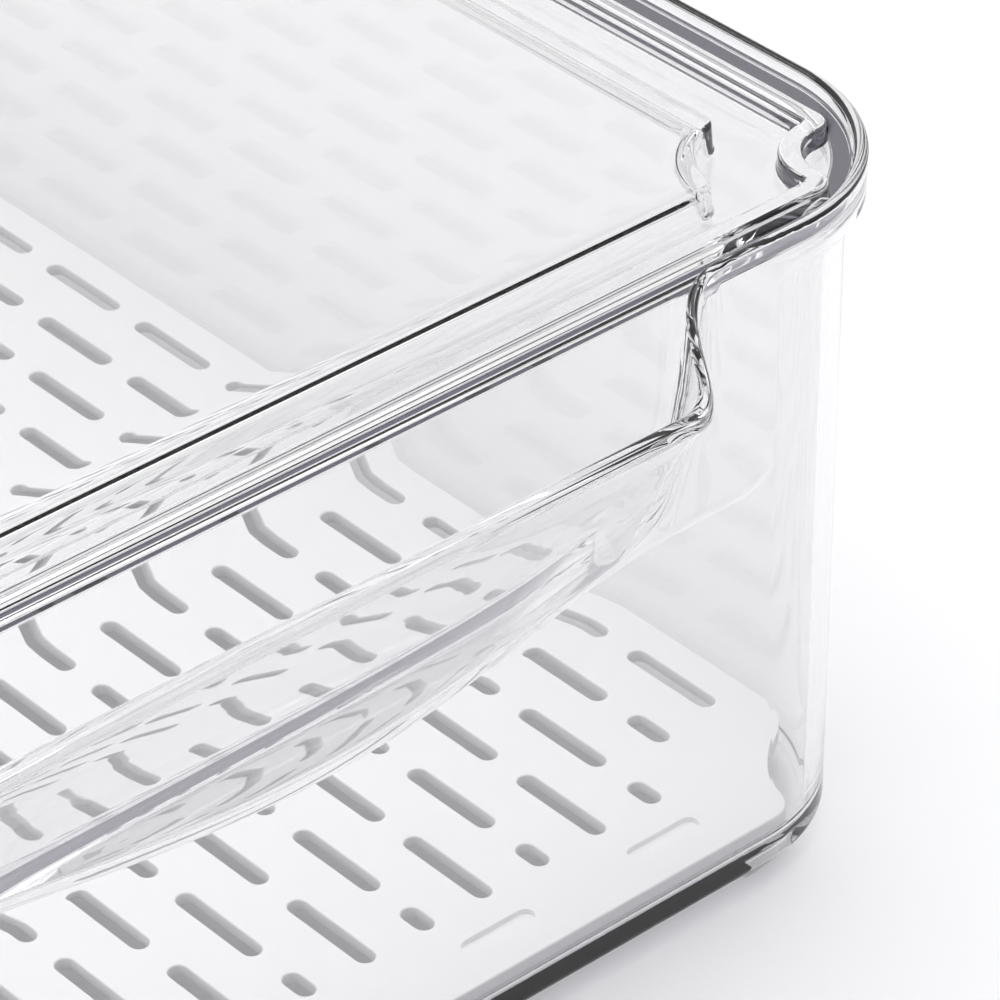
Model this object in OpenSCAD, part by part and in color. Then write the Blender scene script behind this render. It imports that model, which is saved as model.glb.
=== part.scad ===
// Clear fridge bin with a front pull pocket, a lift-off stacking lid and a slotted drain tray.
// Frame: origin under the middle of the whole object, X across the front, -Y out of the
// handle, +Z up. The bin stands on four moulded feet at z = 0.

/* [Bin] */
// Outside width of the bin's walls at the base
bin_w = 219.2; // [216:0.2:235]
// Outside depth of the bin's walls at the base
bin_d = 313; // [311:1:350]
// Outside radius of the upright corners at the base
corner_r = 23; // [18:0.5:26]
// Height of the seat that the lid rests on
seat_z = 103; // [95:0.5:125]
// How far each wall leans outwards from base to rim
draft = 1.8; // [1:0.1:2.4]
// Thickness of the walls
wall_t = 2.4; // [2:0.1:3]
// Thickness of the floor
floor_t = 2.5; // [2:0.1:3.5]
// Height of the bevel round the bottom edge
bevel = 2.5; // [1:0.1:3]

/* [Rim] */
// How far the rim stands out from the wall
rim_out = 2.6; // [2.2:0.1:3.5]
// Thickness of the raised lip round the lid
lip_t = 1.8; // [1.2:0.1:2]
// Height of the raised lip above the lid's seat
lip_h = 3.5; // [2:0.1:5]
// Depth of the rim below the lid's seat
rim_h = 3.5; // [2:0.1:6]

/* [Feet] */
// Height of the moulded feet
foot_h = 3.5; // [2:0.1:5]
// Radial thickness of a foot
foot_t = 3.6; // [2.5:0.1:5]
// Angle that one foot covers round its corner
foot_angle = 27; // [15:1:60]

/* [Handle] */
// Half width of the raised pad that carries the handle
pad_half_w = 86.6; // [76:0.2:88]
// How far the pad stands out from the wall
pad_out = 2.5; // [1.5:0.1:3.5]
// Height of the pad's lower edge, which is the underside of the pull pocket
pocket_z = 67.5; // [45:0.5:75]
// Radius of the pad's lower corners
pad_r = 9; // [5:0.5:14]
// Half width of the pocket's lip at its mouth
lip_half_w = 64.5; // [50:0.5:70]
// How far the lip stands out from the wall
lip_out = 17.6; // [14:0.1:22]
// How far the lip lies below the top of the rim
lip_drop = 8; // [5:0.5:12]
// Thickness of the pocket's front wall at the lip
pocket_t = 3.3; // [2.4:0.1:4]
// How far the bow stands out at the middle of the pocket's underside
bow_out = 12.8; // [9:0.1:13.5]
// Half width of the bow on the pocket's underside
bow_half_w = 67; // [55:0.5:72]

/* [Lid] */
// Thickness of the lid's plate
lid_t = 2.2; // [1.8:0.1:3]
// Clearance between the lid and the rim's raised lip
lid_gap = 0.3; // [0.2:0.05:0.5]
// Width of the ridge round the lid
ridge_w = 3.2; // [2.4:0.1:4]
// Height of the ridge above the plate
ridge_h = 2.6; // [1.5:0.1:4]
// Height of the raised panel above the plate
panel_h = 4.3; // [2:0.1:6]
// Width of the channel between the lid's edge and the panel, at the sides
channel_x = 19.1; // [16:0.1:26]
// Width of the channel between the lid's edge and the panel, at front and back
channel_y = 9.5; // [8.5:0.1:16]
// Radius of the concave bite at each corner of the panel
panel_bite_r = 12.2; // [8:0.1:16]
// Distance from the lid's edge to the ridge, at the sides
ridge_in_x = 6; // [2:0.1:8]
// Distance from the lid's edge to the ridge, at front and back
ridge_in_y = 1; // [0.6:0.1:2]
// Radius of the concave bend that the ridge makes at each corner
ridge_bite_r = 6.2; // [5.8:0.1:8]

/* [Drain tray] */
// Clearance between the tray and the bin's walls at the floor
tray_gap = 0.7; // [0.4:0.1:2]
// Thickness of the tray's plate
tray_t = 2; // [1.5:0.1:3]
// Height of the tray's legs
leg_h = 1.5; // [1:0.1:6]
// Radius of a leg
leg_r = 2; // [1:0.1:2.4]
// Distance from one column of slots to the next
slot_pitch = 20; // [19:0.2:20.6]
// Distance from one row of slots to the next
row_pitch = 11; // [10.5:0.1:11.2]
// Length of a slot
slot_len = 16.6; // [12:0.1:17]
// Width of a slot
slot_w = 2.8; // [2:0.1:4]
// Radius of the concave bite at each corner of the tray
tray_bite_r = 13; // [10:0.5:15]
// Depth of the shallow grooves along the front and back edges
groove_depth = 0.8; // [0.4:0.1:1.2]

/* [Hidden] */
$fn = 96;
clear_plastic = [0.86, 0.88, 0.92, 0.45];
white_plastic = [0.94, 0.94, 0.94];
sliver = 0.01;
cut = 1;
// How far the feet stand inside the base's bevelled edge
foot_inset = 0.6;
corner_x = bin_w / 2 - corner_r;
corner_y = bin_d / 2 - corner_r;
rim_top = seat_z + lip_h;
// The handle makes the object longer at the front, so the bin sits back by half of that
shift_y = (lip_out - rim_out) / 2;
front_y = -bin_d / 2 - draft;
floor_z = foot_h + floor_t;
tray_z = floor_z + leg_h;
// The bevel between floor and walls stays below the tray
inner_bevel = min(1.2, leg_h);
tray_half_w = bin_w / 2 - wall_t - tray_gap;
tray_half_d = bin_d / 2 - wall_t - tray_gap;
// The shortest distance from the tray's edge to the middle of its last full row
row_margin = 20;
// Rows of slots on each side of the middle one, an even number so that both ends match
last_row = 2 * floor((tray_half_d - row_margin) / (2 * row_pitch));
// The outermost column at a half pitch
outer_column = 4.5;
// The shortened slots in the last row's outer columns, and how far they sit inside that row
corner_slot_len = 7.2;
corner_slot_in = 4.6;
// The short slots beyond the last row, and their distance from it
end_slot_len = 5.4;
end_slot_out = 5.6;
// The edge grooves: their length, distance from the tray's edge and places across it
groove_len = 12;
groove_in = 6.8;
groove_x = [17.2, 46.2, 75.2];
// Columns and rows that the legs stand on, as shares of the slot pitch and of the last row
leg_columns = [-5, -2, 2, 5];
leg_rows = [-1, -0.5, 0, 0.5, 1];
// The lid's edge beyond the bin's base outline, and half its size
lid_out = draft + rim_out - lip_t - lid_gap;
lid_half_w = bin_w / 2 + lid_out;
lid_half_d = bin_d / 2 + lid_out;
// Centre of the circle that the ridge bends round, inside the ridge's own corner
ridge_bite_x = 3.4;
ridge_bite_y = 4.3;
// Centre of the circle that bites the panel, beyond the panel's corner
panel_bite_x = 2.2;
panel_bite_y = 1.7;
// A foot starts at the front of its corner and runs round the side
foot_start = -94;
pocket_floor_t = 3.3;
// Corner radius of the pocket's mouth
mouth_r = 7;
// The pocket's front leans outwards to the lip; its solid runs on above the rim and is cut back
pocket_top_z = rim_top + 2;
lip_z = rim_top - lip_drop;
mouth_out = bow_out + (lip_out - bow_out) * (pocket_top_z - pocket_z) / (lip_z - pocket_z);
pad_top_z = seat_z - rim_h / 2;
// How far the wall's outer face lies beyond the base outline at height z
function lean(z) = draft * (z - foot_h - bevel) / (seat_z - foot_h - bevel);
// How far the pocket's underside stands out from the wall at x
function bow(x) = pad_out + (bow_out - pad_out) * pow(max(0, cos(90 * x / bow_half_w)), 1.5);

// A rounded rectangle that is the bin's base outline grown by o; its corner centres never move
module outline(o) {
    r = corner_r + o;
    square([2 * corner_x, 2 * (corner_y + r)], center = true);
    square([2 * (corner_x + r), 2 * corner_y], center = true);
    for (sx = [-1, 1], sy = [-1, 1])
        translate([sx * corner_x, sy * corner_y]) circle(r);
}

module layer(o, z) translate([0, 0, z]) linear_extrude(sliver) outline(o);

// The solid inside the bin's outer faces, up to the lid's seat
module bin_outer() {
    hull() {
        layer(-bevel, foot_h);
        layer(0, foot_h + bevel);
        layer(draft, seat_z - sliver);
    }
}

module bin_inner() {
    hull() {
        layer(-wall_t - inner_bevel, floor_z);
        layer(-wall_t, floor_z + inner_bevel);
        layer(draft - wall_t, seat_z + cut);
    }
}

// The flange at the top of the walls, with the raised lip that locates the lid
module rim() {
    difference() {
        translate([0, 0, seat_z - rim_h]) linear_extrude(rim_h + lip_h) outline(draft + rim_out);
        translate([0, 0, seat_z]) linear_extrude(lip_h + cut) outline(draft + rim_out - lip_t);
        translate([0, 0, seat_z - rim_h - cut]) linear_extrude(rim_h + 2 * cut)
            outline(draft - wall_t / 2);
        mouth_in_lip();
    }
}

// The length of the raised lip that the handle's mouth replaces
module mouth_in_lip() {
    half = lip_half_w - pocket_t - 1;
    translate([-half, front_y - rim_out - cut, seat_z])
        cube([2 * half, rim_out + cut, lip_h + cut]);
}

// The shallow pad on the front wall, with round lower corners
module pad() {
    pad_h = pad_top_z - pocket_z;
    translate([0, front_y - pad_out + lean(seat_z) - lean(pocket_z), pocket_z]) rotate([90, 0, 0])
        translate([0, 0, -pad_out - wall_t / 2]) linear_extrude(pad_out + wall_t / 2) {
            translate([-pad_half_w, pad_r]) square([2 * pad_half_w, pad_h - pad_r]);
            translate([-pad_half_w + pad_r, 0]) square([2 * (pad_half_w - pad_r), pad_h]);
            for (s = [-1, 1]) translate([s * (pad_half_w - pad_r), pad_r]) circle(pad_r);
        }
}

// Plan of the bow on the pocket's underside, drawn inwards by inset. Its ends are so flat that
// they move in by three times as much.
module bow_plan(inset) {
    end_share = 3;
    half = bow_half_w - end_share * inset;
    steps = 24;
    polygon(concat(
        [for (i = [0 : steps]) let (x = -half + 2 * half * i / steps)
            [x, -max(pad_out / 2, bow(x) - inset)]],
        [[half, wall_t / 2], [-half, wall_t / 2]]));
}

// Plan of the top of the pocket, drawn inwards by inset
module mouth_plan(inset) {
    r = mouth_r - inset / 2;
    half = lip_half_w - inset - r;
    out = mouth_out - inset - r;
    for (s = [-1, 1]) translate([s * half, -out]) circle(r, $fn = 32);
    translate([-half - r, -out]) square([2 * (half + r), out + wall_t / 2]);
}

module pocket_solid(inset, low_z) {
    translate([0, front_y, 0]) hull() {
        translate([0, 0, low_z]) linear_extrude(sliver) bow_plan(inset);
        translate([0, 0, pocket_top_z]) linear_extrude(sliver) mouth_plan(inset);
    }
}

// Everything above the pocket's edge, which falls from the rim to the lip
module above_pocket_edge() {
    beyond = 10;
    far = lip_out + beyond;
    sink = 0.5;
    fall = (lip_drop - sink) / (lip_out - rim_out);
    translate([-bin_w / 2, front_y, 0]) rotate([90, 0, 90]) linear_extrude(bin_w)
        polygon([[wall_t, rim_top - sink], [-rim_out, rim_top - sink],
                 [-far, rim_top - sink - fall * (far - rim_out)], [-far, rim_top + beyond],
                 [wall_t, rim_top + beyond]]);
}

// The outward pull pocket, open at the top and closed behind by the front wall
module pocket() {
    difference() {
        pocket_solid(0, pocket_z);
        pocket_solid(pocket_t, pocket_z + pocket_floor_t);
        above_pocket_edge();
        translate([0, 0, seat_z]) linear_extrude(lip_h + 2 * cut)
            outline(draft + rim_out - lip_t);
    }
}

// Four short curved feet moulded under the corners, front and back
module feet() {
    foot_r = corner_r - bevel - foot_inset;
    for (sx = [0, 1], sy = [0, 1]) mirror([sx, 0, 0]) mirror([0, sy, 0])
        translate([corner_x, -corner_y, 0]) rotate([0, 0, foot_start])
            rotate_extrude(angle = foot_angle)
                translate([foot_r - foot_t, 0]) square([foot_t, foot_h + floor_t / 2]);
}

module bin() {
    color(clear_plastic) translate([0, shift_y, 0]) {
        difference() {
            union() {
                bin_outer();
                pad();
            }
            bin_inner();
        }
        rim();
        pocket();
        feet();
    }
}

// The ridge's outer face in plan, drawn inwards by inset: it bends in at each corner
module ridge_plan(inset) {
    half_w = lid_half_w - ridge_in_x;
    half_d = lid_half_d - ridge_in_y;
    difference() {
        intersection() {
            square([2 * (half_w - inset), 2 * (half_d - inset)], center = true);
            outline(lid_out - ridge_in_y - inset);
        }
        for (sx = [-1, 1], sy = [-1, 1])
            translate([sx * (half_w - ridge_bite_x), sy * (half_d - ridge_bite_y)])
                circle(ridge_bite_r + inset);
    }
}

// Plan of the raised panel, a rectangle whose corners are bitten by circles
module panel_plan(inset) {
    half_w = lid_half_w - channel_x;
    half_d = lid_half_d - channel_y;
    difference() {
        square([2 * (half_w - inset), 2 * (half_d - inset)], center = true);
        for (sx = [-1, 1], sy = [-1, 1])
            translate([sx * (half_w + panel_bite_x), sy * (half_d + panel_bite_y)])
                circle(panel_bite_r + inset);
    }
}

module lid() {
    color(clear_plastic) translate([0, shift_y, seat_z]) {
        difference() {
            union() {
                linear_extrude(lid_t) outline(lid_out);
                linear_extrude(lid_t + panel_h) panel_plan(0);
            }
            translate([0, 0, -cut]) linear_extrude(panel_h + cut) panel_plan(lid_t);
        }
        linear_extrude(lid_t + ridge_h) difference() {
            ridge_plan(0);
            ridge_plan(ridge_w);
        }
    }
}

module slot(x, y, length) {
    straight = length - slot_w;
    translate([x, y]) {
        square([slot_w, straight], center = true);
        for (s = [-1, 1]) translate([0, s * straight / 2]) circle(slot_w / 2, $fn = 24);
    }
}

// The floor's outline less the gap, with a round bite at each corner
module tray_outline() {
    difference() {
        outline(-wall_t - tray_gap);
        for (sx = [-1, 1], sy = [-1, 1])
            translate([sx * tray_half_w, sy * tray_half_d]) circle(tray_bite_r);
    }
}

// Staggered slots. Rows of columns at whole pitches alternate with rows at odd half pitches.
module slot_pattern() {
    for (k = [-last_row : 2 : last_row], c = [-4 : 3])
        slot((c + 0.5) * slot_pitch, k * row_pitch, slot_len);
    for (k = [-last_row + 2 : 2 : last_row - 2], s = [-1, 1])
        slot(s * outer_column * slot_pitch, k * row_pitch, slot_len);
    for (k = [-last_row + 1 : 2 : last_row - 1], c = [-5 : 5])
        slot(c * slot_pitch, k * row_pitch, slot_len);
    for (sx = [-1, 1], sy = [-1, 1])
        slot(sx * outer_column * slot_pitch, sy * (last_row * row_pitch - corner_slot_in),
             corner_slot_len);
    for (sy = [-1, 1], c = [-4 : 4])
        slot(c * slot_pitch, sy * (last_row * row_pitch + end_slot_out), end_slot_len);
}

// Shallow grooves in the tray's top, along its front and back edges
module edge_grooves() {
    for (x = groove_x, sx = [-1, 1], sy = [-1, 1])
        translate([sx * x, sy * (tray_half_d - groove_in)]) rotate(90) slot(0, 0, groove_len);
}

module drain_tray() {
    color(white_plastic) translate([0, shift_y, 0]) {
        translate([0, 0, tray_z]) difference() {
            linear_extrude(tray_t) difference() {
                tray_outline();
                slot_pattern();
            }
            translate([0, 0, tray_t - groove_depth]) linear_extrude(groove_depth + cut)
                edge_grooves();
        }
        // The legs stand in the gaps between the ends of the slots
        for (x = leg_columns, y = leg_rows)
            translate([x * slot_pitch, y * last_row * row_pitch, floor_z])
                cylinder(r = leg_r, h = leg_h + tray_t / 2, $fn = 32);
    }
}

bin();
lid();
drain_tray();
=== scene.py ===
"""Clear fridge bin with a pull pocket, a lift-off lid and a white slotted drain tray.

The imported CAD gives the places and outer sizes. Each visible piece is a closed mesh made here:
the bin and the lid are profiles swept round a rounded rectangle, so that every edge is round
and the clear plastic bends light as a moulding does.
"""

import math

import bmesh
import bpy
from mathutils import Matrix, Vector


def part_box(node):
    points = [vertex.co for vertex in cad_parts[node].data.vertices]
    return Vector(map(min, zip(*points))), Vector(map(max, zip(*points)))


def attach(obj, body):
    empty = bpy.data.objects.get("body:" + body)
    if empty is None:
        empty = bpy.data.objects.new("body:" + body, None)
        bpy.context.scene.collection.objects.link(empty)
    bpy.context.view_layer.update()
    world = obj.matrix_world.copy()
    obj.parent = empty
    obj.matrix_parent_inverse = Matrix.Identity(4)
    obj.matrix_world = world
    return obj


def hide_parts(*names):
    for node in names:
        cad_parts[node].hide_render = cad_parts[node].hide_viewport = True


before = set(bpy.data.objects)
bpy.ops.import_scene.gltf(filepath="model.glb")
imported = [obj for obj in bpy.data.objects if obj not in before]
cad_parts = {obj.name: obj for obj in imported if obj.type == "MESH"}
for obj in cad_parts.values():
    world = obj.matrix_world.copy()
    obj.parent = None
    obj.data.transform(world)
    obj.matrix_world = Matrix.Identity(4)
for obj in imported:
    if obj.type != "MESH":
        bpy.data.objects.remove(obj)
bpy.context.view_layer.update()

MM = 0.001

# ---------------------------------------------------------------- driving dimensions, mm
BIN_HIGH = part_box("bin")[1]
LID_LOW, LID_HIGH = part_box("lid")
TRAY_LOW, TRAY_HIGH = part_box("drain_tray")

RIM_OUT = 2.6          # the rim's outer face beyond the wall
DRAFT = 1.8            # how far a wall leans out from floor to seat
CORNER_R = 23.0        # corner radius of the base outline
WALL = 2.4
FLOOR_Z = 6.0          # top of the floor
BASE_Z = 3.5           # underside of the floor, on the feet
BASE_BEVEL = 1.7       # rounding of the bottom edge outside
FLOOR_FILLET = 2.2     # rounding between wall and floor inside
CAP_IN = 12.0          # how far in the swept floor ends and one flat face takes over
SEAT_Z = LID_LOW.z / MM    # where the lid rests
RIM_TOP = BIN_HIGH.z / MM
RIM_FOOT = 8.2         # from the rim's top down to where it leaves the wall
RIM_FULL = 5.8         # from the rim's top down to where it stands out fully
LIP_T = 1.8            # thickness of the raised lip
PAD_OUT = 2.5          # how far the pad round the pocket stands out from the wall
PAD_HALF_W = 86.6
PAD_R = 9.0            # radius of the pad's lower corners
STEP_RISE = 3.3        # height of the rounded step from the wall out to the pad
PAD_EDGE = 3.3         # width of the slope round the pad
POCKET_Z = 67.5        # underside of the pull pocket
POCKET_FLOOR = 71.0    # top of the pocket's floor
POCKET_T = 3.3         # thickness of the pocket's front
LIP_OUT = 17.6         # the pocket's lip beyond the wall
LIP_DROP = 8.0         # the pocket's lip below the rim's top
BOW_OUT = 12.8         # the pocket's underside beyond the wall, in the middle
BOW_HALF_W = 67.0      # half the width over which the underside bows out
SWEEP_START = 56.0     # where the straight lip ends
SWEEP_END = 74.0       # where it has run into the rim
FOOT_R = (16.3, 19.9)  # inner and outer radius of a foot about its corner's centre
FOOT_PAST = 1.4        # how far a foot runs on past the corner, along the front or back
FOOT_ANGLE = 23.0      # how far it runs round the corner, degrees
LID_T = 2.2
RIDGE_H = 2.6          # the ridge above the channel
RIDGE_W = 3.2
RIDGE_R = 0.8          # rounding of the ridge's top edges
PANEL_H = 4.3          # the raised panel above the channel
PANEL_R = 0.8          # rounding of the panel's top edge
CHANNEL = (18.7, 8.6)  # from the lid's edge to the panel, at the sides and at front and back
RIDGE_IN = (6.0, 1.0)  # from the lid's edge to the ridge
RIDGE_BITE = 6.2       # radius of the bend in the ridge at each corner

HALF_W = BIN_HIGH.x / MM - RIM_OUT - DRAFT
HALF_D = (LID_HIGH.y - LID_LOW.y) / 2 / MM - DRAFT - RIM_OUT + LIP_T + 0.3
MID_Y = (LID_HIGH.y + LID_LOW.y) / 2 / MM
CORE_X = HALF_W - CORNER_R
CORE_Y = HALF_D - CORNER_R
LID_OUT = DRAFT + RIM_OUT - LIP_T - 0.3


# ---------------------------------------------------------------- small helpers
def clamp(v, low=0.0, high=1.0):
    return max(low, min(high, v))


def mix(a, b, t):
    return a + (b - a) * t


def ease(t):
    t = clamp(t)
    return t * t * (3 - 2 * t)


def ramp(t, r=0.12):
    """Like ease, but straight, with only its two ends rounded."""
    t = clamp(t)
    if t < r:
        return t * t / (2 * r * (1 - r))
    if t > 1 - r:
        return 1 - (1 - t) ** 2 / (2 * r * (1 - r))
    return (t - r / 2) / (1 - r)


def spread(a, b, count):
    """count values from a to b, both included."""
    return [mix(a, b, i / (count - 1)) for i in range(count)]


def arc(cx, cz, r, start, end, count):
    """count points of an arc, angles in degrees."""
    return [(cx + r * math.cos(math.radians(a)), cz + r * math.sin(math.radians(a)))
            for a in spread(start, end, count)]


def bezier(p0, p1, p2, p3, count):
    out = []
    for t in spread(0, 1, count):
        w = ((1 - t) ** 3, 3 * t * (1 - t) ** 2, 3 * t * t * (1 - t), t ** 3)
        out.append(tuple(sum(k * p[i] for k, p in zip(w, (p0, p1, p2, p3))) for i in (0, 1)))
    return out


def loft(name, rings, material):
    """A closed mesh through rings of equally many points, in mm, flat-capped at both ends."""
    bm = bmesh.new()
    rows = [[bm.verts.new(Vector(p) * MM) for p in ring] for ring in rings]
    count = len(rings[0])
    for low, high in zip(rows, rows[1:]):
        for i in range(count):
            j = (i + 1) % count
            bm.faces.new((low[i], low[j], high[j], high[i]))
    bm.faces.new(list(reversed(rows[0])))
    bm.faces.new(rows[-1])
    bmesh.ops.remove_doubles(bm, verts=bm.verts, dist=2e-6)
    bmesh.ops.dissolve_degenerate(bm, edges=bm.edges, dist=1e-6)
    bmesh.ops.recalc_face_normals(bm, faces=bm.faces)
    return finish_mesh(name, bm, material)


def finish_mesh(name, bm, material):
    mesh = bpy.data.meshes.new(name)
    bm.to_mesh(mesh)
    bm.free()
    mesh.materials.append(material)
    mesh.polygons.foreach_set("use_smooth", [True] * len(mesh.polygons))
    piece = bpy.data.objects.new(name, mesh)
    bpy.context.scene.collection.objects.link(piece)
    weighted = piece.modifiers.new("flat faces stay flat", "WEIGHTED_NORMAL")
    weighted.weight = 100
    weighted.keep_sharp = True
    return piece


# ---------------------------------------------------------------- bin
def lean(z):
    return DRAFT * (z - FLOOR_Z) / (SEAT_Z - FLOOR_Z)


def bow(x):
    """How far the pocket's underside stands out at x."""
    wave = math.cos(math.radians(90 * clamp(abs(x) / BOW_HALF_W)))
    return PAD_OUT + (BOW_OUT - PAD_OUT) * wave ** 1.5


def lip_sweep(count):
    """The lip's plan from its straight part to the rim: pairs of x and distance out."""
    return bezier((SWEEP_START, LIP_OUT), (64, LIP_OUT), (62, RIM_OUT + 0.3),
                  (SWEEP_END, RIM_OUT), count)


def front_stations():
    """(x, how far the top edge stands out) from the middle of the front to the corner."""
    out = [(x, LIP_OUT) for x in spread(0, SWEEP_START, 22)[:-1]]
    out += lip_sweep(34)
    # closer together where the pad's lower corner turns up
    out += [(x, RIM_OUT) for x in (76, 77.6, 79, 80.4, 81.6, 82.6)]
    out += [(x, RIM_OUT) for x in spread(PAD_HALF_W - PAD_EDGE, CORE_X, 26)[:-1]]
    return out


def back_stations():
    """As front_stations, for the plain back."""
    xs = spread(0, CORE_X - 6, 12) + [CORE_X - d for d in (4, 3, 2, 1.7, 1.4, 1.1, 0.6)]
    return [(x, RIM_OUT) for x in xs]


def quarter(stations, is_front):
    """Stations of one quarter: core point, outward normal, and what the profile needs."""
    out = []
    for x, edge in stations:
        foot = ease((x - (CORE_X - FOOT_PAST)) / 0.6 + 0.5)
        out.append({"at": (x, -CORE_Y), "n": (0, -1), "x": x, "edge": edge, "foot": foot,
                    "front": is_front})
    angles = spread(0, 21, 8) + [22.0, 22.7, 23.3, 24.0] + spread(27, 90, 19)
    for a in angles:
        rad = math.radians(a)
        foot = ease((FOOT_ANGLE - a) / 2.0 + 0.5)
        out.append({"at": (CORE_X, -CORE_Y), "n": (math.sin(rad), -math.cos(rad)),
                    "x": None, "edge": RIM_OUT, "foot": foot, "front": False})
    for y in spread(-CORE_Y, 0, 9)[1:]:
        out.append({"at": (CORE_X, y), "n": (1, 0), "x": None, "edge": RIM_OUT, "foot": 0,
                    "front": False})
    return out


def mirrored(stations, sx, sy):
    out = []
    for s in stations:
        turned = dict(s)
        turned["at"] = (s["at"][0] * sx, s["at"][1] * sy)
        turned["n"] = (s["n"][0] * sx, s["n"][1] * sy)
        out.append(turned)
    return out


def all_stations():
    """Stations right round the bin, each quarter mirrored onto the next."""
    front = quarter(front_stations(), True)
    back = mirrored(quarter(back_stations(), False), 1, -1)
    loop = front + back[-2::-1]
    return loop + mirrored(loop, -1, 1)[-2:0:-1]


def bin_profile(s):
    """The bin's section at a station: (distance beyond the base outline, height) pairs."""
    pad_on, low = 0.0, POCKET_Z
    out_low, top = PAD_OUT, RIM_TOP
    if s["front"]:
        x = s["x"]
        pad_on = ramp((PAD_HALF_W - x) / PAD_EDGE)
        corner = clamp(x - (PAD_HALF_W - PAD_R), 0, PAD_R)
        low = POCKET_Z + PAD_R - math.sqrt(PAD_R ** 2 - corner ** 2)
        out_low = max(PAD_OUT, bow(x))
        top = RIM_TOP - LIP_DROP * clamp((s["edge"] - RIM_OUT) / (LIP_OUT - RIM_OUT))
    openness = clamp((RIM_TOP - top) / LIP_DROP)
    edge = s["edge"]
    face_low = low + STEP_RISE

    def face(z):
        return mix(out_low, edge, clamp((z - face_low) / (top - face_low)))

    points = []

    def add(proud, z):
        points.append((lean(z) + proud, z))

    # underside, with the foot where there is one
    foot_z = BASE_Z * (1 - s["foot"])
    foot_in, foot_out = FOOT_R[0] - CORNER_R, FOOT_R[1] - CORNER_R
    points.append((-CAP_IN, BASE_Z))
    points.append((foot_in - 0.5, BASE_Z))
    points.append((foot_in - 0.1, mix(BASE_Z, foot_z, 0.25)))
    points.append((foot_in, mix(BASE_Z, foot_z, 0.8)))
    points.append((foot_in + 0.5, foot_z))
    points.append((foot_out - 0.5, foot_z))
    points.append((foot_out, mix(BASE_Z, foot_z, 0.8)))
    points.append((foot_out + 0.05, mix(BASE_Z, foot_z, 0.25)))
    points.append((foot_out + 0.2, BASE_Z))
    points.extend(arc(-BASE_BEVEL, BASE_Z + BASE_BEVEL, BASE_BEVEL, -90, 0, 8))
    # wall, and the step out to the pad or the pocket's underside
    for z in (9, 14, 24, 38, 52, 60):
        add(0, z)
    step = out_low * pad_on
    for p, z in bezier((0, low - 0.5), (0.08 * step, low), (0.9 * step, low + 0.4),
                       (step, face_low), 11):
        add(p, z)
    for t in spread(0, 1, 9)[1:-1]:
        z = mix(face_low, top - RIM_FOOT, t)
        add(face(z) * pad_on, z)
    # underside of the rim
    z0, z1 = top - RIM_FOOT, top - RIM_FULL
    zm = (z0 + z1) / 2
    for p, z in bezier((face(z0) * pad_on, z0), (face(zm) * pad_on, zm), (face(zm), zm),
                       (face(z1), z1), 9):
        add(p, z)
    # lip: outer face, round top, inner face
    thick = mix(LIP_T, POCKET_T, openness)
    r = mix(0.8, 1.3, openness)
    add(face(top - 3), top - 3)
    points.extend((lean(top) + p, z) for p, z in arc(face(top) - r, top - r, r, 0, 90, 6))
    points.extend((lean(top) + p, z)
                  for p, z in arc(face(top) - thick + r, top - r, r, 90, 180, 6))
    points.extend(cavity(face(top) - thick, top - r, out_low - POCKET_T))
    # seat, inner wall and floor
    for p, z in arc(-WALL + 0.5, SEAT_Z - 0.5, 0.5, 90, 180, 4):
        add(p, z)
    for z in (96, 84, 70, 56, 42, 28, 18):
        add(-WALL, z)
    r = FLOOR_FILLET
    points.extend(arc(lean(FLOOR_Z + r) - WALL - r, FLOOR_Z + r, r, 0, -90, 9))
    points.append((-CAP_IN, FLOOR_Z))
    return points


def cavity(front_top, z_top, front_low):
    """Inside of the lip down to the lid's seat, by way of the pocket where it is open.

    Both cases give equally many points, because the loft joins them one to one.
    """
    shut = RIM_OUT - LIP_T
    gap = front_top - shut
    rear = mix(shut, 0.0, clamp(gap / 2))
    if gap < 0.05:
        corner = arc(shut - 0.5, SEAT_Z + 0.5, 0.5, 0, -90, 5)
        pts = [(shut, z) for z in spread(z_top, SEAT_Z + 0.5, 12)[1:-1]]
        pts += corner + [corner[-1]] * (5 + 9 + 4)
        return [(lean(SEAT_Z) + p, z) for p, z in pts]
    least = 0.6
    floor_z = POCKET_FLOOR
    if front_low < rear + least:
        share = (front_top - rear - least) / (front_top - front_low)
        floor_z = min(SEAT_Z - 0.5, z_top - max(share, 0) * (z_top - POCKET_FLOOR))
        front_low = rear + least
    front_low = max(front_low, rear + least)
    r = min(1.2, (front_low - rear) / 2)
    low_z = floor_z + r
    pts = [(mix(front_top, front_low, t), mix(z_top, low_z, t)) for t in spread(0, 1, 12)[1:-1]]
    pts += arc(front_low - r, low_z, r, 0, -90, 5)
    pts += arc(rear + r, low_z, r, -90, -180, 5)
    high = SEAT_Z - 0.4
    pts += [(rear, z) for z in spread(min(low_z, high), high, 11)[1:-1]]
    pts += arc(rear - 0.4, high, 0.4, 0, 90, 4)
    return [(lean(z) + p, z) for p, z in pts]


def make_bin(material):
    stations = all_stations()
    profiles = [bin_profile(s) for s in stations]
    rings = []
    for k in range(len(profiles[0])):
        ring = []
        for s, profile in zip(stations, profiles):
            out, z = profile[k]
            (x, y), (nx, ny) = s["at"], s["n"]
            ring.append((x + nx * (CORNER_R + out), y + ny * (CORNER_R + out) + MID_Y, z))
        rings.append(ring)
    return loft("clear_bin", rings, material)


# ---------------------------------------------------------------- lid
STRAIGHT, CORNER, SIDE = 10, 48, 12      # points along half a front, a corner and half a side


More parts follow.
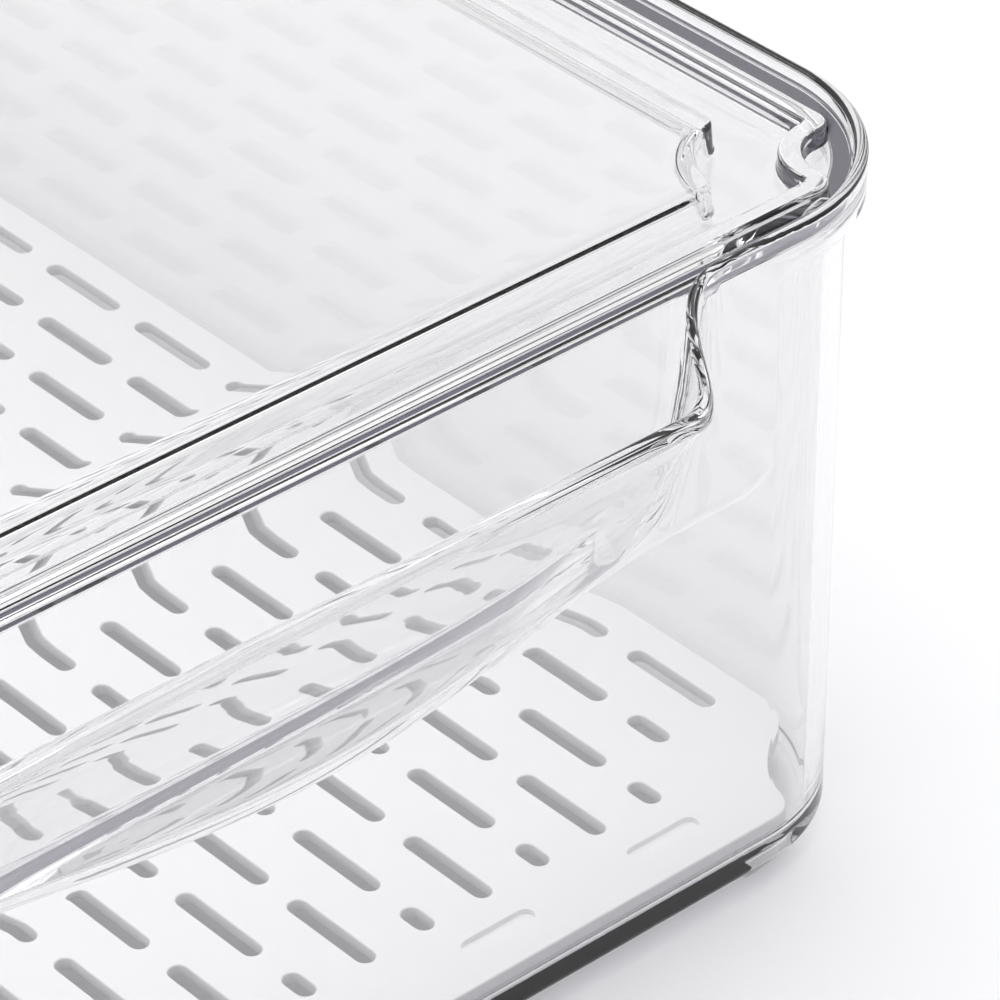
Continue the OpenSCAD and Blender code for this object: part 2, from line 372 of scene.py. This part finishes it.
def resample(points, count):
    """count points evenly spaced along an open line of points."""
    lengths = [0.0]
    for a, b in zip(points, points[1:]):
        lengths.append(lengths[-1] + math.dist(a, b))
    out, k = [], 0
    for target in spread(0, lengths[-1], count):
        while k < len(points) - 2 and lengths[k + 1] < target:
            k += 1
        span = lengths[k + 1] - lengths[k]
        t = 0 if span == 0 else (target - lengths[k]) / span
        out.append((mix(points[k][0], points[k + 1][0], t), mix(points[k][1], points[k + 1][1], t)))
    return out


def round_corner(half_x, half_y, r):
    """A plain round corner at front right: arc points, from the front to the side."""
    cx, cy = half_x - r, -(half_y - r)
    return [(cx + r * math.sin(a), cy - r * math.cos(a)) for a in spread(0, math.pi / 2, CORNER)]


def bitten_corner(half_x, half_y, centre, bite, horn):
    """A corner bitten by a circle, its two horns rounded, from the front to the side."""
    bx, by = centre
    # horn centres lie a horn's radius inside the edge and touch the bite from outside
    fy = -half_y + horn
    fx = bx - math.sqrt((bite + horn) ** 2 - (fy - by) ** 2)
    sx = half_x - horn
    sy = by + math.sqrt((bite + horn) ** 2 - (sx - bx) ** 2)
    pts = []
    first = math.atan2(by - fy, bx - fx)
    pts += [(fx + horn * math.cos(a), fy + horn * math.sin(a))
            for a in spread(-math.pi / 2, first, 40)]
    last = math.atan2(sy - by, sx - bx)
    start = math.atan2(fy - by, fx - bx)
    if start < last:
        start += 2 * math.pi
    pts += [(bx + bite * math.cos(a), by + bite * math.sin(a))
            for a in spread(start, last, 120)][1:]
    turn = math.atan2(by - sy, bx - sx)
    pts += [(sx + horn * math.cos(a), sy + horn * math.sin(a)) for a in spread(turn, 0, 40)][1:]
    return resample(pts, CORNER)


def full_loop(corner):
    """A whole closed loop from the front right corner's points."""
    x0, y0 = corner[0]
    x1, y1 = corner[-1]
    q = [(x, y0) for x in spread(0, x0, STRAIGHT)[:-1]] + list(corner)
    q += [(x1, y) for y in spread(y1, 0, SIDE)[1:]]
    half = q + [(x, -y) for x, y in q[-2::-1]]
    return half + [(-x, y) for x, y in half[-2:0:-1]]


def at_height(loop, z):
    return [(x, y + MID_Y, z) for x, y in loop]


def lid_edge(inset):
    grow = LID_OUT - inset
    return full_loop(round_corner(HALF_W + grow, HALF_D + grow, CORNER_R + grow))


def ridge_line(inset):
    """The ridge's outer face in plan, drawn inwards by inset: it bends in at each corner."""
    half_x = HALF_W + LID_OUT - RIDGE_IN[0]
    half_y = HALF_D + LID_OUT - RIDGE_IN[1]
    return full_loop(bitten_corner(half_x - inset, half_y - inset, (half_x - 3.4, -half_y + 4.3),
                                   RIDGE_BITE + inset, max(3.3 - inset, 0.5)))


def panel_line(inset):
    half_x = HALF_W + LID_OUT - CHANNEL[0]
    half_y = HALF_D + LID_OUT - CHANNEL[1]
    return full_loop(bitten_corner(half_x - inset, half_y - inset, (half_x + 1.8, -half_y - 0.8),
                                   12.2 + inset, max(2.6 - inset, 0.4)))


def make_lid(material):
    top = SEAT_Z + LID_T
    ridge_top = top + RIDGE_H
    panel_top = top + PANEL_H
    rings = []

    def profile(line, points):
        rings.extend(at_height(line(inset), z) for inset, z in points)

    # underside, from the panel outwards
    under = panel_top - LID_T
    profile(panel_line, [(6, under), (LID_T + 1.4, under)])
    profile(panel_line, [(LID_T + 0.9 - p, z) for p, z in arc(0, under - 0.9, 0.9, 90, 0, 5)][1:])
    profile(panel_line, [(LID_T - 0.25 * k, mix(under - 1.2, SEAT_Z + 0.7, k / 3)) for k in range(4)])
    profile(panel_line, [(LID_T - 1.3, SEAT_Z + 0.1), (LID_T - 1.8, SEAT_Z)])
    r = 0.25
    profile(lid_edge, [(3.0, SEAT_Z), (r, SEAT_Z)])
    profile(lid_edge, [(r - p, z) for p, z in arc(0, SEAT_Z + r, r, -90, 0, 5)][1:])
    # edge and ridge
    profile(lid_edge, [(r - p, z) for p, z in arc(0, top - r, r, 0, 90, 5)])
    r = RIDGE_R
    profile(ridge_line, [(-0.2, top), (0.0, top + 0.2)])
    profile(ridge_line, [(r - p, z) for p, z in arc(0, ridge_top - r, r, 0, 90, 7)])
    inner = RIDGE_W - r
    profile(ridge_line, [(inner - p, z) for p, z in arc(0, ridge_top - r, r, 90, 180, 7)])
    profile(ridge_line, [(inner + r + p, z) for p, z in
                         [(0.05, top + 0.3), (0.2, top + 0.08), (0.5, top)]])
    # channel, step up to the panel, and its top
    profile(panel_line, [(-0.5, top), (-0.2, top + 0.08), (-0.05, top + 0.3)])
    profile(panel_line, [(0.05 * k, mix(top + 0.7, panel_top - 0.9, k / 3)) for k in range(4)])
    r = PANEL_R
    profile(panel_line, [(r + 0.15 - p, z) for p, z in arc(0, panel_top - r, r, 0, 90, 6)][1:])
    profile(panel_line, [(1.6, panel_top), (6, panel_top)])
    return loft("clear_lid", rings, material)


# ---------------------------------------------------------------- drain tray
TRAY_T = 2.0
TRAY_EDGE = 0.25       # rounding of the plate's and the slots' edges
TRAY_BITE_R = 13.0
TRAY_HORN_R = 5.0      # rounding where a bite meets the plate's sides
SLOT_PITCH, ROW_PITCH = 20.0, 11.0
SLOT_LEN, SLOT_W = 16.6, 2.8
LAST_ROW = 12
GROOVE_AT = (17.2, 46.2, 75.2)
GROOVE_LEN, GROOVE_DEPTH = 12, 0.8
GROOVE_IN = 6.8        # from the plate's front or back edge to a groove's middle
LEG_COLUMNS = (-5, -2, 2, 5)
LEG_ROWS = 5
LEG_R = 2


def slot_outline(x, y, length):
    r = SLOT_W / 2
    h = length / 2 - r
    ends = [(r * math.cos(a), h + r * math.sin(a)) for a in spread(0, math.pi, 9)]
    return [(x + px, y + py) for px, py in ends] + [(x - px, y - py) for px, py in ends]


def slot_places():
    """(x, y, length) of every slot of the tray."""
    out = []
    for k in range(-LAST_ROW, LAST_ROW + 1):
        if (k + LAST_ROW) % 2:
            out += [(c * SLOT_PITCH, k * ROW_PITCH, SLOT_LEN) for c in range(-5, 6)]
        else:
            out += [((c + 0.5) * SLOT_PITCH, k * ROW_PITCH, SLOT_LEN) for c in range(-4, 4)]
            if abs(k) < LAST_ROW:
                out += [(s * 4.5 * SLOT_PITCH, k * ROW_PITCH, SLOT_LEN) for s in (-1, 1)]
    end = LAST_ROW * ROW_PITCH
    for s in (-1, 1):
        out += [(t * 4.5 * SLOT_PITCH, s * (end - 4.6), 7.2) for t in (-1, 1)]
        out += [(c * SLOT_PITCH, s * (end + 5.6), 5.4) for c in range(-4, 5)]
    return out


def closed_spline(curve, points):
    spline = curve.splines.new("POLY")
    spline.points.add(len(points) - 1)
    for p, (x, y) in zip(spline.points, points):
        p.co = (x * MM, y * MM, 0, 1)
    spline.use_cyclic_u = True


def joined(name, parts):
    """One mesh object from several objects, which are removed."""
    bm = bmesh.new()
    for part in parts:
        part.data.transform(part.matrix_world)
        bm.from_mesh(part.data)
        bpy.data.objects.remove(part)
    mesh = bpy.data.meshes.new(name)
    bm.to_mesh(mesh)
    bm.free()
    obj = bpy.data.objects.new(name, mesh)
    bpy.context.scene.collection.objects.link(obj)
    return obj


def solid_from_outline(name, outline, low, high):
    bm = bmesh.new()
    bottom = [bm.verts.new((x * MM, y * MM, low * MM)) for x, y in outline]
    top = [bm.verts.new((x * MM, y * MM, high * MM)) for x, y in outline]
    bm.faces.new(list(reversed(bottom)))
    bm.faces.new(top)
    for i in range(len(outline)):
        j = (i + 1) % len(outline)
        bm.faces.new((bottom[i], bottom[j], top[j], top[i]))
    bmesh.ops.recalc_face_normals(bm, faces=bm.faces)
    mesh = bpy.data.meshes.new(name)
    bm.to_mesh(mesh)
    bm.free()
    obj = bpy.data.objects.new(name, mesh)
    bpy.context.scene.collection.objects.link(obj)
    return obj


def applied(obj):
    """The object's mesh with its modifiers applied."""
    graph = bpy.context.evaluated_depsgraph_get()
    mesh = bpy.data.meshes.new_from_object(obj.evaluated_get(graph))
    obj.modifiers.clear()
    obj.data = mesh
    return obj


def combine(obj, other, operation):
    mod = obj.modifiers.new(operation, "BOOLEAN")
    mod.operation = operation
    mod.solver = "EXACT"
    mod.object = other
    applied(obj)
    bpy.data.objects.remove(other)
    return obj


def make_tray(material):
    half_x = (TRAY_HIGH.x - TRAY_LOW.x) / 2 / MM
    half_y = (TRAY_HIGH.y - TRAY_LOW.y) / 2 / MM
    top = TRAY_HIGH.z / MM
    curve = bpy.data.curves.new("tray plate", "CURVE")
    curve.dimensions = "2D"
    curve.fill_mode = "BOTH"
    curve.extrude = (TRAY_T / 2 - TRAY_EDGE) * MM
    curve.bevel_depth = TRAY_EDGE * MM
    curve.bevel_resolution = 2
    curve.offset = -TRAY_EDGE * MM
    closed_spline(curve, full_loop(bitten_corner(half_x, half_y, (half_x, -half_y),
                                                 TRAY_BITE_R, TRAY_HORN_R)))
    for x, y, length in slot_places():
        closed_spline(curve, slot_outline(x, y, length))
    outline = bpy.data.objects.new("tray plate", curve)
    bpy.context.scene.collection.objects.link(outline)
    graph = bpy.context.evaluated_depsgraph_get()
    mesh = bpy.data.meshes.new_from_object(outline.evaluated_get(graph))
    bpy.data.objects.remove(outline)
    bm = bmesh.new()
    bm.from_mesh(mesh)
    bmesh.ops.remove_doubles(bm, verts=bm.verts, dist=1e-6)
    bmesh.ops.translate(bm, verts=bm.verts, vec=(0, MID_Y * MM, (top - TRAY_T / 2) * MM))
    bmesh.ops.recalc_face_normals(bm, faces=bm.faces)
    bm.to_mesh(mesh)
    bm.free()
    tray = bpy.data.objects.new("white_drain_tray", mesh)
    bpy.context.scene.collection.objects.link(tray)
    grooves = []
    for x in GROOVE_AT:
        for sx in (-1, 1):
            for sy in (-1, 1):
                ring = [(sx * x + py, MID_Y + sy * (half_y - GROOVE_IN) + px)
                        for px, py in slot_outline(0, 0, GROOVE_LEN)]
                grooves.append(solid_from_outline("groove", ring, top - GROOVE_DEPTH, top + 1))
    combine(tray, joined("grooves", grooves), "DIFFERENCE")
    legs = []
    for x in LEG_COLUMNS:
        for y in spread(-LAST_ROW, LAST_ROW, LEG_ROWS):
            ring = [(x * SLOT_PITCH + LEG_R * math.cos(a),
                     MID_Y + y * ROW_PITCH + LEG_R * math.sin(a))
                    for a in spread(0, 2 * math.pi, 25)[:-1]]
            legs.append(solid_from_outline("leg", ring, FLOOR_Z, top - TRAY_T + 0.5))
    combine(tray, joined("legs", legs), "UNION")
    tray.data.materials.clear()
    tray.data.materials.append(material)
    return tray


# ---------------------------------------------------------------- materials
def new_material(name):
    material = bpy.data.materials.new(name)
    material.use_nodes = True
    nodes = material.node_tree.nodes
    nodes.clear()
    return material, nodes, material.node_tree.links


PAINTED_GLOW_DEPTH = 14      # bounces after which a ray ends on the painted glow, which stands in for light guided inside the plastic


def clear_plastic(name, ripple):
    """Clear moulded plastic: faint flow ripples bend what is seen through it.

    Lamps' rays pass straight through, as the renderer can't follow them through bends.
    Rays that have bounced many times inside end on a painted violet-grey glow.
    """
    material, nodes, links = new_material(name)
    out = nodes.new("ShaderNodeOutputMaterial")
    shader = nodes.new("ShaderNodeBsdfPrincipled")
    shader.inputs["Base Color"].default_value = (0.903, 0.903, 0.907, 1)
    shader.inputs["Transmission Weight"].default_value = 1.0
    shader.inputs["IOR"].default_value = 1.52
    place = nodes.new("ShaderNodeTexCoord")
    flow = nodes.new("ShaderNodeTexNoise")
    flow.inputs["Scale"].default_value = 26
    flow.inputs["Detail"].default_value = 1.0
    haze = nodes.new("ShaderNodeTexNoise")
    haze.inputs["Scale"].default_value = 140
    rough = nodes.new("ShaderNodeMapRange")
    rough.inputs["To Min"].default_value = 0.0
    rough.inputs["To Max"].default_value = 0.02
    bump = nodes.new("ShaderNodeBump")
    bump.inputs["Strength"].default_value = 1.0
    bump.inputs["Distance"].default_value = ripple
    clear = nodes.new("ShaderNodeBsdfTransparent")
    clear.inputs["Color"].default_value = (0.85, 0.85, 0.853, 1)
    path = nodes.new("ShaderNodeLightPath")
    choose = nodes.new("ShaderNodeMixShader")
    # painted glow: a ray that has bounced many times inside ends on an emitted even violet grey,
    # which stands in for light guided a long way through the plastic
    painted_glow = nodes.new("ShaderNodeEmission")
    painted_glow.inputs["Color"].default_value = (0.30, 0.29, 0.34, 1)
    far = nodes.new("ShaderNodeMath")
    far.operation = "GREATER_THAN"
    far.inputs[1].default_value = PAINTED_GLOW_DEPTH
    deep = nodes.new("ShaderNodeMixShader")
    links.new(place.outputs["Object"], flow.inputs["Vector"])
    links.new(place.outputs["Object"], haze.inputs["Vector"])
    links.new(flow.outputs["Fac"], bump.inputs["Height"])
    links.new(haze.outputs["Fac"], rough.inputs["Value"])
    links.new(rough.outputs["Result"], shader.inputs["Roughness"])
    links.new(bump.outputs["Normal"], shader.inputs["Normal"])
    links.new(path.outputs["Is Shadow Ray"], choose.inputs["Fac"])
    links.new(path.outputs["Ray Depth"], far.inputs[0])
    links.new(far.outputs["Value"], deep.inputs["Fac"])
    links.new(shader.outputs["BSDF"], deep.inputs[1])
    links.new(painted_glow.outputs["Emission"], deep.inputs[2])
    links.new(deep.outputs["Shader"], choose.inputs[1])
    links.new(clear.outputs["BSDF"], choose.inputs[2])
    links.new(choose.outputs["Shader"], out.inputs["Surface"])
    return material


def white_plastic():
    """White satin moulded plastic with a fine even grain."""
    material, nodes, links = new_material("white satin plastic")
    out = nodes.new("ShaderNodeOutputMaterial")
    shader = nodes.new("ShaderNodeBsdfPrincipled")
    place = nodes.new("ShaderNodeTexCoord")
    grain = nodes.new("ShaderNodeTexNoise")
    grain.inputs["Scale"].default_value = 2600
    grain.inputs["Detail"].default_value = 2
    cloud = nodes.new("ShaderNodeTexNoise")
    cloud.inputs["Scale"].default_value = 30
    tint = nodes.new("ShaderNodeValToRGB")
    tint.color_ramp.elements[0].color = (0.93, 0.93, 0.93, 1)
    tint.color_ramp.elements[1].color = (0.96, 0.96, 0.96, 1)
    rough = nodes.new("ShaderNodeMapRange")
    rough.inputs["To Min"].default_value = 0.38
    rough.inputs["To Max"].default_value = 0.52
    bump = nodes.new("ShaderNodeBump")
    bump.inputs["Strength"].default_value = 0.25
    bump.inputs["Distance"].default_value = 0.00005
    links.new(place.outputs["Object"], grain.inputs["Vector"])
    links.new(place.outputs["Object"], cloud.inputs["Vector"])
    links.new(cloud.outputs["Fac"], tint.inputs["Fac"])
    links.new(tint.outputs["Color"], shader.inputs["Base Color"])
    links.new(grain.outputs["Fac"], rough.inputs["Value"])
    links.new(rough.outputs["Result"], shader.inputs["Roughness"])
    links.new(grain.outputs["Fac"], bump.inputs["Height"])
    links.new(bump.outputs["Normal"], shader.inputs["Normal"])
    # the plate is thin, so some light reaches the floor below it
    path = nodes.new("ShaderNodeLightPath")
    through = nodes.new("ShaderNodeBsdfTransparent")
    through.inputs["Color"].default_value = (0.72, 0.72, 0.72, 1)
    choose = nodes.new("ShaderNodeMixShader")
    links.new(path.outputs["Is Shadow Ray"], choose.inputs["Fac"])
    links.new(shader.outputs["BSDF"], choose.inputs[1])
    links.new(through.outputs["BSDF"], choose.inputs[2])
    links.new(choose.outputs["Shader"], out.inputs["Surface"])
    return material


# ---------------------------------------------------------------- stage, light, camera
def floor_material():
    material, nodes, links = new_material("pale floor")
    out = nodes.new("ShaderNodeOutputMaterial")
    shader = nodes.new("ShaderNodeBsdfPrincipled")
    shader.inputs["Base Color"].default_value = (0.93, 0.93, 0.93, 1)
    shader.inputs["Roughness"].default_value = 0.9
    links.new(shader.outputs["BSDF"], out.inputs["Surface"])
    return material


def make_floor():
    bm = bmesh.new()
    bmesh.ops.create_grid(bm, x_segments=1, y_segments=1, size=3.0)
    mesh = bpy.data.meshes.new("floor")
    bm.to_mesh(mesh)
    bm.free()
    mesh.materials.append(floor_material())
    floor = bpy.data.objects.new("floor", mesh)
    bpy.context.scene.collection.objects.link(floor)


def area_light(name, at, aim, size, power):
    light = bpy.data.lights.new(name, "AREA")
    light.shape = "RECTANGLE"
    light.size, light.size_y = size
    light.energy = power
    lamp = bpy.data.objects.new(name, light)
    lamp.location = at
    lamp.rotation_euler = (Vector(aim) - Vector(at)).to_track_quat("-Z", "Y").to_euler()
    bpy.context.scene.collection.objects.link(lamp)


SKY_STRENGTH = 0.96
SKY_FRONT = (0.42, 0.41, 0.50, 1)      # the studio's darker side, before the bin
SKY_BACK = (1, 1, 1, 1)
LAMP_POWER = 13


def make_lights():
    world = bpy.data.worlds.new("soft studio")
    world.use_nodes = True
    nodes, links = world.node_tree.nodes, world.node_tree.links
    sky = nodes["Background"]
    place = nodes.new("ShaderNodeTexCoord")
    split = nodes.new("ShaderNodeSeparateXYZ")
    ramp = nodes.new("ShaderNodeValToRGB")
    ramp.color_ramp.elements[0].position = 0.12
    ramp.color_ramp.elements[0].color = SKY_FRONT
    ramp.color_ramp.elements[1].position = 0.40
    ramp.color_ramp.elements[1].color = SKY_BACK
    shift = nodes.new("ShaderNodeMapRange")
    shift.inputs["From Min"].default_value = -1
    shift.inputs["From Max"].default_value = 1
    links.new(place.outputs["Generated"], split.inputs["Vector"])
    links.new(split.outputs["Y"], shift.inputs["Value"])
    links.new(shift.outputs["Result"], ramp.inputs["Fac"])
    links.new(ramp.outputs["Color"], sky.inputs["Color"])
    sky.inputs["Strength"].default_value = SKY_STRENGTH
    bpy.context.scene.world = world
    area_light("overhead", (0.1, 0.3, 1.6), (0, 0, 0), (1.6, 1.6), LAMP_POWER)


CAMERA_AT = Vector((-0.32628, -0.58400, 0.48008))
CAMERA_AZIMUTH, CAMERA_ELEVATION, CAMERA_ROLL = -40.17, 34.78, 1.33


def make_camera():
    a, e, r = (math.radians(v) for v in (CAMERA_AZIMUTH, CAMERA_ELEVATION, CAMERA_ROLL))
    back = Vector((math.sin(a) * math.cos(e), -math.cos(a) * math.cos(e), math.sin(e)))
    right = Vector((math.cos(a), math.sin(a), 0))
    up = back.cross(right)
    x = right * math.cos(r) - up * math.sin(r)
    y = right * math.sin(r) + up * math.cos(r)
    data = bpy.data.cameras.new("camera")
    data.sensor_width = 36
    data.lens = 205.45
    data.clip_start = 0.01
    camera = bpy.data.objects.new("camera", data)
    camera.matrix_world = Matrix(((x.x, y.x, back.x, CAMERA_AT.x), (x.y, y.y, back.y, CAMERA_AT.y),
                                  (x.z, y.z, back.z, CAMERA_AT.z), (0, 0, 0, 1)))
    bpy.context.scene.collection.objects.link(camera)
    bpy.context.scene.camera = camera


# ---------------------------------------------------------------- put together
make_camera()
make_floor()
make_lights()

bin_piece = make_bin(clear_plastic("clear plastic, bin", 0.00002))
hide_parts("bin")
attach(bin_piece, "bin")

lid_piece = make_lid(clear_plastic("clear plastic, lid", 0.00001))
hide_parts("lid")
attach(lid_piece, "lid")

tray_piece = make_tray(white_plastic())
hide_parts("drain_tray")
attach(tray_piece, "tray")

scene = bpy.context.scene
scene.view_settings.view_transform = "Standard"
scene.cycles.max_bounces = 64
scene.cycles.transmission_bounces = 64
scene.cycles.transparent_max_bounces = 32
scene.cycles.glossy_bounces = 12
